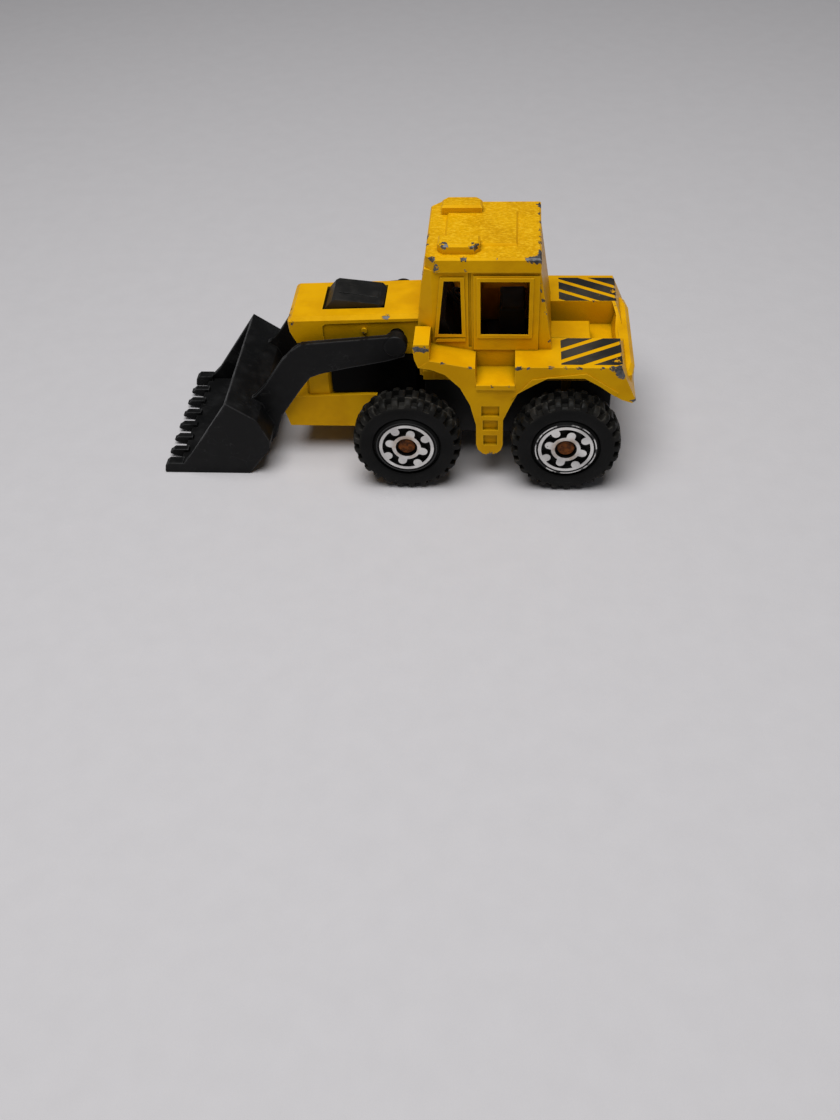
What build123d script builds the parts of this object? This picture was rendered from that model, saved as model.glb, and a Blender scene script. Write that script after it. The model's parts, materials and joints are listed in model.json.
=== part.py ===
from build123d import *
import os
from math import cos, hypot, radians, sin

# Pocket-size die-cast front loader.
# Sizes are in millimetres. X runs forward to the bucket, Y to the loader's left, Z up.
# The outlines are written from the rear axle (x = 0) and the ground (z = 0).
# At the end every piece is slid along X, so that the origin is the middle of the footprint.

# Running gear
wheelbase = 24.0
wheel_radius = 8.25
wheel_inner_y = 11.4
wheel_width = 4.75
axle_radius = 0.7
axle_clearance = 0.06
axle_head_radius = 1.3
axle_head_thickness = 0.4
wheel_bore_mouth = 1.65
wheel_bore_depth = 0.7
lug_count = 26
lug_gap = 0.62
lug_gap_depth = 0.75
hub_ring_radius = 4.15
hub_pin_ring_radius = 4.62
hub_centre_radius = 2.2
hub_recess = 0.55
hub_ring_width = 0.47
hub_lug_width = 1.3
hub_lug_gap = 0.42
hub_turn = 16.0
foil_thickness = 0.08

# Body casting
body_half_width = 13.05
fender_over_arch = 1.85
fender_wall = 1.5
fender_inner_y = 5.28
arch_gap = 2.35
skirt_drop = 3.75
cab_half_width = 8.3
cab_height = 12.9
cab_wall = 1.25
roof_thickness = 2.1
roof_overhang = 0.4
beacon_rise = 1.4
window_rim = 0.55
window_rim_rise = 0.48
hood_rise = 3.25
hood_climb = 0.7
hood_half_width = 5.4
hood_wall = 1.2
hood_depth = 4.2
hood_edge = 0.5
hood_reach = 18.2
casting_edge = 0.25
intake_rear = 3.6
intake_front = 13.1
intake_right = -3.7
intake_left = 2.95
intake_rise = 1.9

# Base moulding and the nose of the body
base_half_width = 8.0
base_front = 5.0
tongue_length = 2.5
tongue_half_width = 3.0
tongue_thickness = 1.2
nose_half_width = 7.0
base_drop = 2.95
base_floor = 1.2
base_rim = 1.15
nose_rise = 3.15
casting_gap = 0.15
column_half_width = 6.5
column_front = 16.2
column_rear = 12.2
rivet_x = -3.0
rivet_radius = 1.2
rivet_head_radius = 2.1
rivet_head_depth = 0.8

# Loader moulding
arm_inner_y = 7.45
arm_thickness = 0.85
arm_boss_inner_y = 6.8
arm_boss_radius = 1.75
pivot_ahead = 1.7
pivot_rise = 0.38
stud_radius = 1.1
stud_clearance = 0.06
bucket_half_width = 12.84
bucket_wall = 0.95
bucket_height = 13.56
bucket_ahead = 27.8
tooth_count = 8
tooth_length = 2.2
tooth_width = 1.15
end_tooth_width = 1.7

# Print
print_thickness = 0.05
print_inset = 0.8
stripe_pitch = 3.0
stripe_width = 2.05
stripe_slope = 0.57
stripe_count = 4

# Levels and stations that follow from the sizes above
axle_z = wheel_radius
fender_z = axle_z + wheel_radius + arch_gap + fender_over_arch
roof_under = fender_z + cab_height
roof_z = roof_under + roof_thickness
hood_z = fender_z + hood_rise
hood_rear_z = hood_z + hood_climb
hood_under = hood_z - hood_depth
base_z = axle_z - base_drop
deck_z = fender_z - 4.1
rim_z = deck_z - fender_wall - casting_gap
tread_z = fender_z - 3.0
wheel_outer_y = wheel_inner_y + wheel_width
arch_scale = (wheel_radius + arch_gap) / 10.6
nose_top = axle_z + nose_rise
front = wheelbase
cowl_x = front - 1.7
nose_x = front + hood_reach
pivot_x = front + pivot_ahead
pivot_z = fender_z + pivot_rise
arm_outer_y = arm_inner_y + arm_thickness
skirt_x = front / 2 - 0.6
bucket_x = front + bucket_ahead
tooth_tip_x = bucket_x + 11.8
tail_x = -10.0
middle_x = (tooth_tip_x + tail_x) / 2
door_window_z0 = fender_z + 2.75
side_window_z1 = fender_z + 11.45


def block(x0, x1, y0, y1, z0, z1):
    """A box between six faces."""
    solid = Box(x1 - x0, y1 - y0, z1 - z0)
    return Pos((x0 + x1) / 2, (y0 + y1) / 2, (z0 + z1) / 2) * solid


def side_plate(outline, y0, y1):
    """An outline of (x, z) points, as thick as from y0 to y1."""
    face = make_face(Polyline(*[(x, y0, z) for x, z in outline], close=True))
    return extrude(face, y1 - y0, dir=(0, 1, 0))


def plan_plate(outline, z0, z1):
    """An outline of (x, y) points, as thick as from z0 to z1."""
    face = make_face(Polyline(*[(x, y, z0) for x, y in outline], close=True))
    return extrude(face, z1 - z0, dir=(0, 0, 1))


def cross_plate(outline, x0, x1):
    """An outline of (y, z) points, as thick as from x0 to x1."""
    face = make_face(Polyline(*[(x0, y, z) for y, z in outline], close=True))
    return extrude(face, x1 - x0, dir=(1, 0, 0))


def rod(x, z, radius, y0, y1):
    """A cylinder along Y."""
    turned = Rot(90, 0, 0) * Cylinder(radius, y1 - y0)
    return Pos(x, (y0 + y1) / 2, z) * turned


def post(x, y, radius, z0, z1):
    """An upright cylinder."""
    return Pos(x, y, (z0 + z1) / 2) * Cylinder(radius, z1 - z0)


def both_sides(shape):
    """The shape and its mirror image across the middle plane."""
    return shape + mirror(shape, about=Plane.XZ)


def far_side(shape):
    return mirror(shape, about=Plane.XZ)


def arch(x_axle, points):
    """Arch points, given from the axle for the standard wheel, grown with the wheel."""
    return [(x_axle + x * arch_scale, axle_z + z * arch_scale) for x, z in points]


front_arch = arch(front, [(-3.76, 11.98), (-5.94, 11.04), (-8.11, 8.75), (-9.56, 5.69),
                          (-10.44, 1.98)])
rear_arch = arch(0, [(9.49, 2.97), (8.19, 6.12), (7.33, 7.94), (4.88, 9.57), (3.03, 10.65),
                     (-2.33, 10.69), (-4.58, 9.31), (-6.89, 7.55), (-7.97, 6.85)])
foot_z = axle_z - skirt_drop
foot_radius = (front_arch[-1][0] - rear_arch[0][0]) / 2
tail_slope = [(tail_x, fender_z - 5.6), (tail_x + 1.8, fender_z - 1.5), (tail_x + 2.5, fender_z)]


def fender_outline():
    """Side of the loader from the tail to the lamp, over the arches and down to the step."""
    notch_rear = skirt_x - 3.55
    notch_front = skirt_x + 2.1
    outline = [(tail_x + 0.5, fender_z - 6.1)] + tail_slope
    outline += [(notch_rear, fender_z), (notch_rear, tread_z), (notch_front, tread_z)]
    outline += [(notch_front + 0.2, fender_z - 0.3), (cowl_x - 2.0, fender_z + 1.0)]
    outline += [(cowl_x - 0.3, fender_z - 0.2)] + front_arch
    foot_x = (front_arch[-1][0] + rear_arch[0][0]) / 2
    foot_top = foot_z + foot_radius
    for degrees in (0, -30, -60, -90, -120, -150, -180):
        outline.append((foot_x + foot_radius * cos(radians(degrees)),
                        foot_top + foot_radius * sin(radians(degrees))))
    return outline + rear_arch


def fenders():
    """Both fender blocks, each hollowed from below where no wheel runs."""
    y0 = cab_half_width - 0.2
    side = side_plate(fender_outline(), y0, body_half_width)
    ladder_x = skirt_x
    hollow = block(ladder_x - 1.3, ladder_x + 1.3, y0, body_half_width - fender_wall,
                   foot_z + 2.0, tread_z - fender_wall)
    shelf = side_plate([(2.4, fender_z), tail_slope[2], tail_slope[1], tail_slope[0],
                        (tail_x + 0.5, fender_z - 6.1), rear_arch[-1], rear_arch[-2],
                        rear_arch[-3], rear_arch[-4], rear_arch[-5], (4.4, rear_arch[-5][1]),
                        (4.4, fender_z)], fender_inner_y, y0)
    band = arch(0, [(8.3, 6.9), (5.3, 10.4), (-2.5, 11.5), (-7.3, 8.2), (-6.89, 7.55),
                    (-4.58, 9.31), (-2.33, 10.69), (3.03, 10.65), (4.88, 9.57), (7.33, 7.94)])
    flare = side_plate(band, body_half_width - 0.1, body_half_width + 0.14)
    return both_sides(side - hollow + shelf + flare)


def ladder_cuts():
    """Three treads sunk in each ladder."""
    cuts = []
    for top, half in ((-6.95, 1.35), (-9.55, 1.15), (-12.35, 1.05)):
        cuts.append(block(skirt_x - half, skirt_x + half, body_half_width - 0.55,
                          body_half_width + 1, fender_z + top - 1.9, fender_z + top))
    return both_sides(cuts[0] + cuts[1] + cuts[2])


def step_lip():
    """The tread of the step stands a little proud of the skirt, over the ladder."""
    lip = block(skirt_x - 3.55, skirt_x + 2.1, body_half_width - 0.6, body_half_width + 0.35,
                tread_z - 0.75, tread_z)
    return both_sides(lip)


def lamp_blocks():
    """Square lamp housings on the front ends of the front fenders."""
    outline = [(cowl_x - 2.0, fender_z - 0.4), (cowl_x - 2.0, fender_z + 3.7),
               (cowl_x + 0.25, fender_z + 3.7), (cowl_x + 0.4, fender_z + 3.0),
               (cowl_x + 0.2, fender_z + 1.2), (cowl_x - 0.3, fender_z - 0.2)]
    return both_sides(side_plate(outline, cab_half_width - 0.3, body_half_width - 0.05))


def cab_side(inset):
    """Side outline of the cab, drawn in by a wall."""
    return [(2.35 + inset, deck_z - 1.3), (2.5 + inset, fender_z),
            (4.5 + inset, roof_under + 0.1 - inset * 0.2),
            (cowl_x - 1.3 - inset, roof_under + 0.1 - inset * 0.2),
            (cowl_x - 0.75 - inset, roof_under - 2.7), (cowl_x - inset, fender_z + 3.3),
            (cowl_x - inset, deck_z - 1.3)]


def cab_plan(inset):
    """Plan outline of the cab, with its two front corners cut."""
    half = cab_half_width - inset
    rear = 2.0 + inset
    return [(rear, -half), (cowl_x - 2.3, -half), (cowl_x + 0.5 - inset, 1.4 - half),
            (cowl_x + 0.5 - inset, half - 1.4), (cowl_x - 2.3, half), (rear, half)]


def cab_box(inset, z0, z1):
    side = side_plate(cab_side(inset), -cab_half_width - 1, cab_half_width + 1)
    return side & plan_plate(cab_plan(inset), z0, z1)


def roof():
    """Roof slab with a sunk border round its hatch and two beacon housings at the front."""
    half = cab_half_width + roof_overhang
    x0 = 4.45
    x1 = cowl_x - 1.45
    corner = 1.4
    slab = plan_plate([(x0, -half), (x1 - corner, -half), (x1, corner - half),
                       (x1, half - corner), (x1 - corner, half), (x0, half)], roof_under, roof_z)
    slab = chamfer(slab.faces().sort_by(Axis.Z)[-1].edges(), casting_edge)
    hatch = block(x0 + 3.35, x1 - 2.55, -5, 5, roof_z - 0.1, roof_z + 0.3)
    hatch = chamfer(hatch.faces().sort_by(Axis.Z)[-1].edges(), 0.28)
    beacon = plan_plate([(x1 - 7.75, 4.3), (x1 - 1.75, 4.3), (x1 - 1.75, 6.5),
                         (x1 - 2.55, 7.4), (x1 - 6.95, 7.4), (x1 - 7.75, 6.5)],
                        roof_z - 0.1, roof_z + beacon_rise)
    beacon = chamfer(beacon.faces().sort_by(Axis.Z)[-1].edges(), 0.3)
    return slab + hatch + both_sides(beacon)


def door_frames():
    """Raised door panels, and a rim round each side window."""
    y0 = cab_half_width - 0.3
    y1 = cab_half_width + 0.28
    panel = block(4.55, cowl_x - 8.3, y0, y1, fender_z + 0.1, roof_under - 0.65)
    rim = window_rim
    door_rim = block(6.0 - rim, cowl_x - 9.3 + rim, y0, cab_half_width + window_rim_rise,
                     door_window_z0 - rim, side_window_z1 + rim)
    side_rim = side_plate([(cowl_x - 6.6 - rim, door_window_z0 - rim),
                           (cowl_x - 3.1 + rim, door_window_z0 - rim),
                           (cowl_x - 4.1 + rim, side_window_z1 + rim),
                           (cowl_x - 6.45 - rim, side_window_z1 + rim)], y0, y1)
    sill = side_plate([(cowl_x - 7.1, fender_z + 2.0), (cowl_x - 2.9, fender_z + 1.9),
                       (cowl_x - 2.7, fender_z + 1.4), (cowl_x - 7.1, fender_z + 1.5)],
                      y0, y1)
    return both_sides(panel + door_rim + side_rim + sill)


def window_cuts():
    """Door and front side windows, their sills falling inwards, and the windscreen."""
    y1 = cab_half_width + 2
    fall = 4.0
    door = block(6.0, cowl_x - 9.3, 3.0, y1, door_window_z0, side_window_z1)
    side = side_plate([(cowl_x - 6.6, door_window_z0), (cowl_x - 3.1, door_window_z0),
                       (cowl_x - 4.1, side_window_z1), (cowl_x - 6.45, side_window_z1)], 3.0, y1)
    sill_y = cab_half_width + 0.3
    sill_z = door_window_z0 + 0.01
    slope = [(sill_y, sill_z), (sill_y - fall, sill_z), (sill_y - fall, sill_z - fall)]
    sills = cross_plate(slope, 6.0, cowl_x - 9.3) + cross_plate(slope, cowl_x - 6.6, cowl_x - 3.1)
    screen = block(cowl_x - 5, cowl_x + 3, -5.6, 5.6, fender_z + 5.2, fender_z + 11.2)
    groove = block(cowl_x - 8.0, cowl_x - 7.55, cab_half_width - 0.3, y1,
                   fender_z + 0.3, roof_under - 0.3)
    return both_sides(door + side + sills + groove) + screen


def hood():
    """Bonnet that climbs to the cab, with a dropped nose and shallow side panels."""
    half = hood_half_width
    side = [(cowl_x - 1.5, hood_under), (nose_x - 1.1, hood_under), (nose_x - 0.2, hood_z - 2.2),
            (nose_x, hood_z - 0.6), (nose_x - 0.7, hood_z), (cowl_x - 1.5, hood_rear_z)]
    shape = side_plate(side, -half, half)
    rails = [edge for edge in shape.edges()
             if abs(edge.center().Y) > half - 0.01 and edge.center().Z > hood_z and edge.length > 9]
    shape = chamfer(rails, hood_edge)
    corner_cut = plan_plate([(nose_x - 0.9, half + 1), (nose_x + 1, half + 1),
                             (nose_x + 1, half - 1.9)], hood_under - 1, hood_z + 1)
    panel = side_plate([(cowl_x, hood_under - 1), (nose_x - 5.3, hood_under - 1),
                        (nose_x - 5.3, hood_z - 1.3), (nose_x - 5.8, hood_z - 0.9),
                        (cowl_x, hood_rear_z - 1.0)], half - 0.25, half + 1)
    rivet = rod(pivot_x + 4.9, hood_z - 2.0, 0.42, half - 0.4, half + 0.1)
    return shape - both_sides(corner_cut + panel) + both_sides(rivet)


def hood_hollow():
    """Space below the bonnet, as far as the solid nose."""
    half = hood_half_width - hood_wall
    return block(cowl_x - 2.5, front + 12.2, -half, half, hood_under - 1, hood_z - hood_wall)


def intake_slot():
    """Slot in the bonnet for the intake hump, a little to the right of the middle."""
    return block(front + intake_rear, front + intake_front, intake_right, intake_left,
                 hood_under - 1, hood_rear_z + 1)


def pivot_lugs():
    """Ears below the bonnet that carry the loader's studs."""
    y0 = hood_half_width - hood_wall
    ear = side_plate([(cowl_x - 0.6, hood_under + 0.1), (cowl_x - 0.6, hood_under - 2.0),
                      (pivot_x + 1.4, hood_under - 2.0), (pivot_x + 2.4, hood_under + 0.1)],
                     y0, hood_half_width - 0.3)
    return both_sides(ear)


def stud_holes():
    radius = stud_radius + stud_clearance
    hole = rod(pivot_x, pivot_z, radius, hood_half_width - hood_wall - 0.5, hood_half_width + 1)
    return both_sides(hole)


def deck():
    """Sunk rear deck between the fenders, its raised cover and the tail panel with a dip."""
    wall = fender_wall
    y1 = fender_inner_y
    floor = block(tail_x + 2.4, 3.4, -y1 - 0.5, y1 + 0.5, deck_z - wall, deck_z)
    cheek = block(tail_x + 2.6, 4.0, y1, y1 + wall, deck_z - wall, fender_z - 0.5)
    shelf = block(tail_x + 2.2, 4.0, y1, cab_half_width - 0.15, deck_z - wall, deck_z + 0.2)
    cover = block(-3.55, 3.4, -2.45, 2.45, deck_z - 0.2, fender_z - 1.7)
    cover = chamfer(cover.faces().sort_by(Axis.Z)[-1].edges(), 0.2)
    lip = 0.5
    panel = side_plate(tail_slope[::-1] + [(tail_x + 0.5, fender_z - 6.1),
                                           (tail_x + 1.9, fender_z - 7.4),
                                           (tail_x + 3.0, fender_z - 7.4),
                                           (tail_x + 2.9, deck_z), (tail_x + 1.8 + lip, fender_z - 1.5),
                                           (tail_x + 2.5 + lip, fender_z)], -y1, y1)
    bulge = plan_plate([(tail_x + 2.4, -11.6), (tail_x + 0.6, -10.4), (tail_x + 0.1, -8),
                        (tail_x, 0), (tail_x + 0.1, 8), (tail_x + 0.6, 10.4),
                        (tail_x + 2.4, 11.6)], fender_z - 6.1, fender_z - 2.3)
    bulge = chamfer(bulge.faces().sort_by(Axis.Z)[-1].edges().sort_by(Axis.X)[:-1], 0.6)
    bulge -= block(tail_x + 2.1, 0, -14, 14, 0, fender_z)
    dip = 2.5
    radius = (y1 * y1 + dip * dip) / (2 * dip)
    bowl = Pos(tail_x + 2, 0, fender_z - dip + radius) * Rot(0, 90, 0) * Cylinder(radius, 8)
    return floor + both_sides(cheek + shelf) + cover + (panel - bowl) + bulge


def cab_floor_walls():
    """Walls below the cab sides, down to the base, and the tail's lower edge."""
    y1 = cab_half_width - 0.15
    side = block(3.0, cowl_x - 0.6, y1 - 1.0, y1, deck_z - fender_wall, deck_z)
    tail = block(tail_x + 1.9, tail_x + 3.0, -y1, y1, fender_z - 7.4, deck_z)
    return both_sides(side) + tail


def axle_keepers():
    """Ribs that close the rear axle's slots in the base from above."""
    outer = base_half_width - base_rim - casting_gap
    keeper = block(-axle_radius, axle_radius, outer - 1.2, outer,
                   axle_z + axle_radius + axle_clearance, deck_z - 0.3)
    return both_sides(keeper)


def rivet_post():
    """Post cast on the body that passes through the base and is spread below it."""
    return post(rivet_x, 0, rivet_radius, base_z + rivet_head_depth, deck_z - 0.2)


def nose():
    """Deep yellow nose below the bonnet, with the grille column that carries the bonnet."""
    half = nose_half_width
    inner = half - base_rim
    rear = front + base_front + casting_gap
    tip = front + 20.3
    nose_block = side_plate([(rear, base_z), (tip - 0.9, base_z), (tip, axle_z + 0.55),
                             (tip - 1.3, axle_z + 2.55), (front + 7.0, nose_top),
                             (rear, nose_top)], -half, half)
    pocket = block(rear + base_rim, front + 11.0, -inner, inner, base_z - 1,
                   nose_top - base_floor)
    slot = block(rear - 1, rear + tongue_length + 1, -tongue_half_width - casting_gap,
                 tongue_half_width + casting_gap, base_z - 1,
                 base_z + tongue_thickness + casting_gap)
    half = column_half_width
    x0, x1 = front + column_rear, front + column_front
    column = block(x0, x1, -half, half, axle_z + 1.5, hood_under - 0.5)
    column = chamfer(column.edges().filter_by(Axis.Z), 0.5)
    neck = hood_half_width - 0.1
    column += block(x0 + 0.6, x1 - 0.6, -neck, neck, hood_under - 1.0, hood_under + 1.0)
    for row in range(4):
        z = nose_top + 1.2 + row * 1.75
        column -= block(x1 - 0.35, x1 + 1, 0.9 - half, half - 0.9, z, z + 0.85)
    return nose_block - pocket - slot + column


def make_body():
    outer = cab_box(0, deck_z - 1.3, roof_under + 0.1) + roof() + door_frames()
    outer += fenders() + step_lip() + lamp_blocks() + hood() + pivot_lugs() + cab_floor_walls()
    cab_hollow = cab_box(cab_wall, deck_z - 2.0, roof_under + 0.1)
    body = outer - cab_hollow - hood_hollow() - intake_slot() - window_cuts()
    body -= ladder_cuts() + stud_holes()
    body += deck() + rivet_post() + axle_keepers() + nose()
    return body





def make_base():
    """Floor pan between the wheels, with high rims, axle bosses and a tongue at the front."""
    half = base_half_width
    inner = half - base_rim
    rear_x = tail_x + 3.2
    step_x = cowl_x - 0.8
    front_x = front + base_front
    narrow = nose_half_width
    pan = block(rear_x, step_x, -half, half, base_z, rim_z)
    pan -= block(rear_x + base_rim, step_x - base_rim, -inner, inner, base_z + base_floor,
                 rim_z + 1)
    fore = block(step_x - 0.5, front_x, -narrow, narrow, base_z, nose_top)
    fore -= block(step_x + base_rim, front_x - base_rim, base_rim - narrow, narrow - base_rim,
                  base_z + base_floor, nose_top + 1)
    tongue = block(front_x - 0.5, front_x + tongue_length, -tongue_half_width,
                   tongue_half_width, base_z, base_z + tongue_thickness)
    base = pan + fore + tongue
    boss_end = wheel_inner_y - 0.2
    slot = axle_radius + axle_clearance
    for x, side in ((0, inner), (front, narrow - base_rim)):
        base += both_sides(rod(x, axle_z, axle_radius + 1.15, side, boss_end))
    for x in (0, front):
        base -= rod(x, axle_z, slot, -wheel_inner_y, wheel_inner_y)
        base -= block(x - slot, x + slot, -wheel_inner_y, wheel_inner_y, axle_z, rim_z + 1)
    base += post(rivet_x, 0, rivet_head_radius + 1, base_z, axle_z - axle_radius - 0.1)
    base -= post(rivet_x, 0, rivet_radius + casting_gap, base_z - 1, rim_z + 1)
    base -= post(rivet_x, 0, rivet_head_radius + casting_gap, base_z - 1,
                 base_z + rivet_head_depth)
    return base


def make_rivet_head():
    """The spread end of the post."""
    head = post(rivet_x, 0, rivet_head_radius, base_z + 0.1, base_z + rivet_head_depth)
    return chamfer(head.edges().sort_by(Axis.Z)[0], 0.3)


def make_engine():
    """Black engine block below the bonnet, with the intake hump that fills the slot."""
    low = nose_top + casting_gap
    half = column_half_width
    narrow = hood_half_width - hood_wall - casting_gap
    gap = casting_gap
    x0 = cowl_x + 0.5 + gap
    x1 = front + column_rear - gap
    lug_end = pivot_x + 2.4 + gap
    block_low = block(x0, x1, -half, half, low, hood_under - 2.0 - gap)
    shoulder = block(lug_end, x1, -half, half, low, hood_under - gap)
    neck = block(x0, x1, -narrow, narrow, low, hood_z - hood_wall - gap)
    engine = block_low + shoulder + neck
    rear = front + intake_rear + gap
    nose_end = front + intake_front - gap
    rise = intake_rise
    hump_side = [(rear, hood_z - 2), (rear, hood_z + 0.55), (rear + 0.6, hood_z + 0.95),
                 (nose_end - 1.9, hood_z + rise - 0.15), (nose_end - 1.4, hood_z + rise - 0.4),
                 (nose_end, hood_z - 0.1), (nose_end, hood_z - 2)]
    hump = side_plate(hump_side, intake_right + gap, intake_left - gap)
    rear_corners = hump.edges().filter_by(Axis.Z).group_by(Axis.X)[0]
    hump = fillet(rear_corners, 0.9)
    ridge_side = [(rear + 1.0, hood_z), (rear + 1.0, hood_z + 1.05),
                  (nose_end - 2.4, hood_z + rise), (nose_end - 2.0, hood_z)]
    ridge = side_plate(ridge_side, intake_right + 2.0, intake_left - 2.1)
    top = block(x0 + 2, front + 14, -6, 6, hood_z - hood_wall - 0.5, hood_z + 4)
    hump = (hump + ridge) & top
    feet = block(front - axle_radius, front + axle_radius, nose_half_width - base_rim,
                 nose_half_width, axle_z + axle_radius + axle_clearance, low + 0.8)
    tie = block(front - axle_radius, front + axle_radius, narrow - 0.5, nose_half_width,
                low, low + 0.8)
    return engine + hump + both_sides(feet + tie)


def make_interior():
    """Cab floor, seat, dashboard and steering wheel in one black moulding."""
    y1 = cab_half_width - cab_wall - casting_gap
    x0 = 2.35 + cab_wall + casting_gap + 0.3
    x1 = cowl_x - cab_wall - casting_gap
    floor_z = deck_z - 1.3
    floor = block(x0, x1, -y1, y1, floor_z, floor_z + 1.0)
    seat = block(6.2, 12.4, -3.4, 3.4, floor_z, fender_z - 2.4)
    back = block(6.5, 10.3, -3.3, 3.3, floor_z, fender_z + 3.9)
    seat = fillet(seat.edges().filter_by(Axis.Y).group_by(Axis.Z)[-1], 0.6)
    back = fillet(back.edges().group_by(Axis.Z)[-1], 0.5)
    console = side_plate([(x1 - 4.6, floor_z), (x1 - 0.6, floor_z), (x1 - 0.6, fender_z + 3.9),
                          (x1 - 2.6, fender_z + 4.1), (x1 - 3.6, fender_z + 1.2),
                          (x1 - 4.6, fender_z - 1.0)], -y1, y1)
    locker = block(11.9, 13.9, 3.6, y1, floor_z, fender_z - 0.6)
    wheel_place = Pos(x1 - 5.0, 0, fender_z + 3.6) * Rot(0, -35, 0)
    rim = wheel_place * Torus(1.9, 0.34)
    spokes = wheel_place * (Box(3.8, 0.6, 0.4) + Box(0.6, 3.8, 0.4))
    stalk = wheel_place * Pos(1.2, 0, -1.7) * Rot(0, 35, 0) * Cylinder(0.5, 3.6)
    inside = cab_box(cab_wall + casting_gap, floor_z - 1, fender_z + 6)
    return ((floor + console) & inside) + seat + back + locker + rim + spokes + stalk


def make_axle(x):
    end = wheel_outer_y - wheel_bore_depth + axle_clearance
    shaft = rod(x, axle_z, axle_radius, -end, end)
    head = rod(x, axle_z, axle_head_radius, end, end + axle_head_thickness)
    head = fillet(head.edges().sort_by(Axis.Y)[-1], 0.18)
    return shaft + both_sides(head)


def ring(inner, outer):
    return Circle(outer) - Circle(inner)


def hub_pattern():
    """Centre ring with lugs outward, outer ring with lugs inward, and a fine ring outside."""
    half = hub_lug_width / 2
    ring_inner = hub_ring_radius - hub_ring_width
    out_cap = ring_inner - hub_lug_gap - half
    in_cap = hub_centre_radius + hub_lug_gap + half
    centre = ring(wheel_bore_mouth, hub_centre_radius)
    outer = ring(ring_inner, hub_ring_radius)
    out_stem = out_cap - wheel_bore_mouth - 0.2
    in_stem = hub_ring_radius - 0.2 - in_cap
    out = Pos(out_cap - out_stem / 2, 0) * Rectangle(out_stem, 2 * half)
    out += Pos(out_cap, 0) * Circle(half)
    into = Pos(in_cap + in_stem / 2, 0) * Rectangle(in_stem, 2 * half)
    into += Pos(in_cap, 0) * Circle(half)
    for turn in range(4):
        centre += Rot(0, 0, 90 * turn) * out
        outer += Rot(0, 0, 90 * turn + 45) * into
    return [centre, outer, ring(hub_pin_ring_radius - 0.17, hub_pin_ring_radius)]


def wheel_face_plane(y):
    """Plane of a wheel's outer face, turned as the wheel stands."""
    return Plane(origin=(0, y, 0), x_dir=(cos(radians(hub_turn)), 0, sin(radians(hub_turn))),
                 z_dir=(0, 1, 0))


def make_wheel():
    """One-piece wheel on the Y axis, its outer face towards +Y."""
    y0 = wheel_inner_y
    y1 = wheel_outer_y
    r = wheel_radius
    groove = hub_pin_ring_radius + 0.4
    ring_inner = hub_ring_radius - hub_ring_width
    profile = [(axle_radius + axle_clearance, y0 + 0.4), (1.9, y0 + 0.4), (2.2, y0), (2.9, y0),
               (3.2, y0 + 1.6), (r - 2.6, y0 + 1.6), (r - 2.3, y0), (r - 1.1, y0),
               (r - 0.55, y0 + 0.2), (r - 0.15, y0 + 0.8), (r, y0 + 1.6), (r, y1 - 1.6),
               (r - 0.15, y1 - 0.8), (r - 0.55, y1 - 0.2), (r - 1.1, y1), (groove + 0.25, y1),
               (groove + 0.1, y1 - 0.3), (groove - 0.1, y1 - 0.3), (groove - 0.25, y1),
               (ring_inner + 0.05, y1), (ring_inner + 0.05, y1 - hub_recess),
               (hub_centre_radius - 0.05, y1 - hub_recess), (hub_centre_radius - 0.05, y1),
               (wheel_bore_mouth, y1), (wheel_bore_mouth, y1 - wheel_bore_depth),
               (axle_radius + axle_clearance, y1 - wheel_bore_depth)]
    wheel = revolve(make_face(Polyline(*profile, close=True)), Axis.Y)
    gap = Box(lug_gap_depth * 2, 1.7, lug_gap)
    cuts = []
    for number in range(lug_count):
        angle = 360 / lug_count * number
        cuts.append(Rot(0, angle, 0) * Pos(r, y1 - 0.6, 0) * gap)
        cuts.append(Rot(0, angle + 180 / lug_count, 0) * Pos(r, y0 + 0.6, 0) * gap)
    wheel = wheel - cuts
    plane = wheel_face_plane(y1 - hub_recess)
    centre, outer, pin_ring = hub_pattern()
    return wheel + extrude(plane * (centre + outer), hub_recess)


def make_foil():
    """Silver film on the raised hub pattern."""
    plane = wheel_face_plane(wheel_outer_y)
    film = None
    for shape in hub_pattern():
        layer = extrude(plane * shape, foil_thickness)
        film = layer if film is None else film + layer
    return film


def bucket_outline(reach=0.0):
    """Side outline of the bucket; reach runs its open front on past the edges."""
    lip = (bucket_x, bucket_height)
    rear_top = (bucket_x - 4.5, bucket_height - 3.16)
    span = hypot(4.5, 3.16)
    top = (lip[0] + 4.5 / span * reach, lip[1] + 3.16 / span * reach)
    toe = tooth_tip_x - tooth_length
    return [top, rear_top, (bucket_x - 6.0, 6.4), (bucket_x - 5.7, 4.8), (bucket_x - 2.0, 0),
            (toe + 3 * reach, 0)]


def bucket_block():
    """The bucket as if it were full, from side to side."""
    outline = bucket_outline()
    outline += [(outline[-1][0], 0.8), (bucket_x + 7.3, 3.15)]
    return side_plate(outline, -bucket_half_width, bucket_half_width)


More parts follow.
